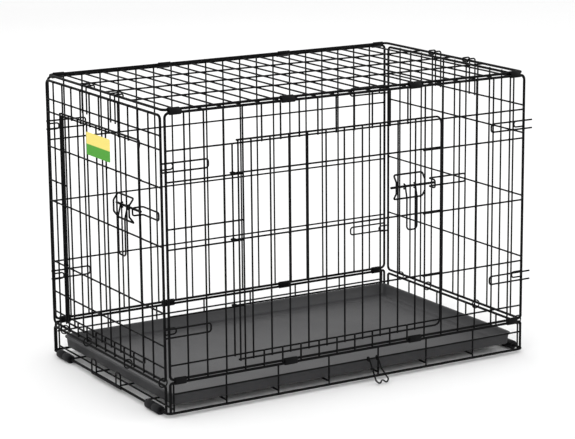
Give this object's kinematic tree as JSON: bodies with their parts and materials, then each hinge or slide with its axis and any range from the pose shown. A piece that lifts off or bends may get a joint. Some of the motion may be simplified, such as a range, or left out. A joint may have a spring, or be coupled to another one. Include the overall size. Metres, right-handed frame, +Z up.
{
  "type": "wire dog crate",
  "caption": "Folding black wire dog crate with a side door and an end door, slide bolt latches, a slide-out pan and hinge clips.",
  "frame": {"origin": "on the ground, under the middle of the floor frame", "axes": "+X towards the plain end, -Y is the side with the side door, +Z up"},
  "size_m": [0.804, 0.5158, 0.5497],
  "materials": {
    "black_wire": "satin black coating over round steel wire",
    "plated_wire": "black coated spring wire",
    "plated_sheet": "black coated sheet clips",
    "pan_plastic": "fine grained black plastic",
    "foot_plastic": "smooth black plastic",
    "card": "plain two-tone card"
  },
  "bodies": {
    "floor": {"floor_frame": "black_wire", "pan_stop": "plated_wire", "foot_left_front": "foot_plastic", "foot_left_back": "foot_plastic", "foot_right_front": "foot_plastic", "foot_right_back": "foot_plastic"},
    "front_side": {"front_side": "black_wire", "side_keeper": "black_wire", "bottom_clip_front_1": "plated_sheet", "bottom_clip_front_2": "plated_sheet", "bottom_clip_front_3": "plated_sheet", "bottom_clip_front_4": "plated_sheet"},
    "back_side": {"back_side": "black_wire", "bottom_clip_back_1": "plated_sheet", "bottom_clip_back_2": "plated_sheet", "bottom_clip_back_3": "plated_sheet", "bottom_clip_back_4": "plated_sheet"},
    "top": {"top_panel": "black_wire", "top_clip_front_1": "plated_sheet", "top_clip_front_2": "plated_sheet", "top_clip_front_3": "plated_sheet", "top_clip_front_4": "plated_sheet", "top_clip_back_1": "plated_sheet", "top_clip_back_2": "plated_sheet", "top_clip_back_3": "plated_sheet", "top_clip_back_4": "plated_sheet"},
    "left_end": {"left_end": "black_wire", "end_keeper": "black_wire", "hinge_ring_left_1": "plated_wire", "hinge_ring_left_2": "plated_wire", "hinge_ring_left_3": "plated_wire", "hinge_ring_left_4": "plated_wire", "corner_hook_left_front_low": "plated_wire", "corner_hook_left_front_high": "plated_wire", "corner_hook_left_back_low": "plated_wire", "corner_hook_left_back_high": "plated_wire", "top_hook_left_front": "plated_wire", "top_hook_left_back": "plated_wire"},
    "right_end": {"right_end": "black_wire", "hinge_ring_right_1": "plated_wire", "hinge_ring_right_2": "plated_wire", "hinge_ring_right_3": "plated_wire", "hinge_ring_right_4": "plated_wire", "corner_hook_right_front_low": "plated_wire", "corner_hook_right_front_high": "plated_wire", "corner_hook_right_back_low": "plated_wire", "corner_hook_right_back_high": "plated_wire", "top_hook_right_front": "plated_wire", "top_hook_right_back": "plated_wire"},
    "side_door": {"side_door": "black_wire", "side_bolt_cage": "black_wire"},
    "side_bolt": {"side_bolt": "plated_wire"},
    "side_handle": {"side_bolt_handle": "black_wire"},
    "end_door": {"end_door": "black_wire", "end_bolt_cage": "black_wire", "label_card": "card"},
    "end_bolt": {"end_bolt": "plated_wire"},
    "end_handle": {"end_bolt_handle": "black_wire"},
    "pan": {"pan": "pan_plastic"},
    "retainer": {"retainer_clip": "plated_wire"}
  },
  "joints": [
    {"name": "front_side_lean", "type": "hinge", "parent": "floor", "child": "front_side", "pos_m": [0, -0.237, 0.0632], "axis": [1, 0, 0], "range_deg": [0, 80], "deforming": ["corner_hook_left_front_low", "corner_hook_left_front_high", "corner_hook_left_back_low", "corner_hook_left_back_high", "top_hook_left_front", "top_hook_left_back", "corner_hook_right_front_low", "corner_hook_right_front_high", "corner_hook_right_back_low", "corner_hook_right_back_high", "top_hook_right_front", "top_hook_right_back"]},
    {"name": "back_side_lean", "type": "hinge", "parent": "floor", "child": "back_side", "pos_m": [0, 0.237, 0.0632], "axis": [1, 0, 0], "range_deg": [0, 80]},
    {"name": "top_level", "type": "hinge", "parent": "front_side", "child": "top", "pos_m": [0, -0.237, 0.539], "axis": [1, 0, 0], "range_deg": [-80, 0]},
    {"name": "left_end_fold", "type": "hinge", "parent": "floor", "child": "left_end", "pos_m": [-0.3828, 0, 0.0573], "axis": [0, 1, 0], "range_deg": [0, 90], "deforming": ["corner_hook_left_front_low", "corner_hook_left_front_high", "corner_hook_left_back_low", "corner_hook_left_back_high", "top_hook_left_front", "top_hook_left_back"]},
    {"name": "right_end_fold", "type": "hinge", "parent": "floor", "child": "right_end", "pos_m": [0.3828, 0, 0.0573], "axis": [0, -1, 0], "range_deg": [0, 91.7], "deforming": ["corner_hook_right_front_low", "corner_hook_right_front_high", "corner_hook_right_back_low", "corner_hook_right_back_high", "top_hook_right_front", "top_hook_right_back"]},
    {"name": "side_door_swing", "type": "hinge", "parent": "front_side", "child": "side_door", "pos_m": [-0.2498, -0.24075, 0.2847], "axis": [0, 0, 1], "range_deg": [-130, 0]},
    {"name": "end_door_swing", "type": "hinge", "parent": "left_end", "child": "end_door", "pos_m": [-0.38655, 0.16148, 0.283], "axis": [0, 0, 1], "range_deg": [-130, 0]},
    {"name": "side_bolt_slide", "type": "slide", "parent": "side_door", "child": "side_bolt", "axis": [1, 0, 0], "range_m": [-0.018, 0]},
    {"name": "side_handle_turn", "type": "hinge", "parent": "side_bolt", "child": "side_handle", "pos_m": [0.11, -0.25215, 0.3612], "axis": [1, 0, 0], "range_deg": [-120, 0]},
    {"name": "end_bolt_slide", "type": "slide", "parent": "end_door", "child": "end_bolt", "axis": [0, -1, 0], "range_m": [-0.016, 0]},
    {"name": "end_handle_turn", "type": "hinge", "parent": "end_bolt", "child": "end_handle", "pos_m": [-0.39795, -0.1202, 0.361], "axis": [0, -1, 0], "range_deg": [-120, 0]},
    {"name": "pan_slide", "type": "slide", "parent": "floor", "child": "pan", "axis": [1, 0, 0], "range_m": [-0.7, 0], "deforming": ["pan_stop"]},
    {"name": "retainer_swing", "type": "hinge", "parent": "floor", "child": "retainer", "pos_m": [0.0395, -0.23995, 0.0437], "axis": [1, 0, 0], "range_deg": [-100, 0]}
  ],
  "couplings": [
    {"joint": "back_side_lean", "follows": "front_side_lean", "ratio": 1},
    {"joint": "top_level", "follows": "front_side_lean", "ratio": -1}
  ]
}
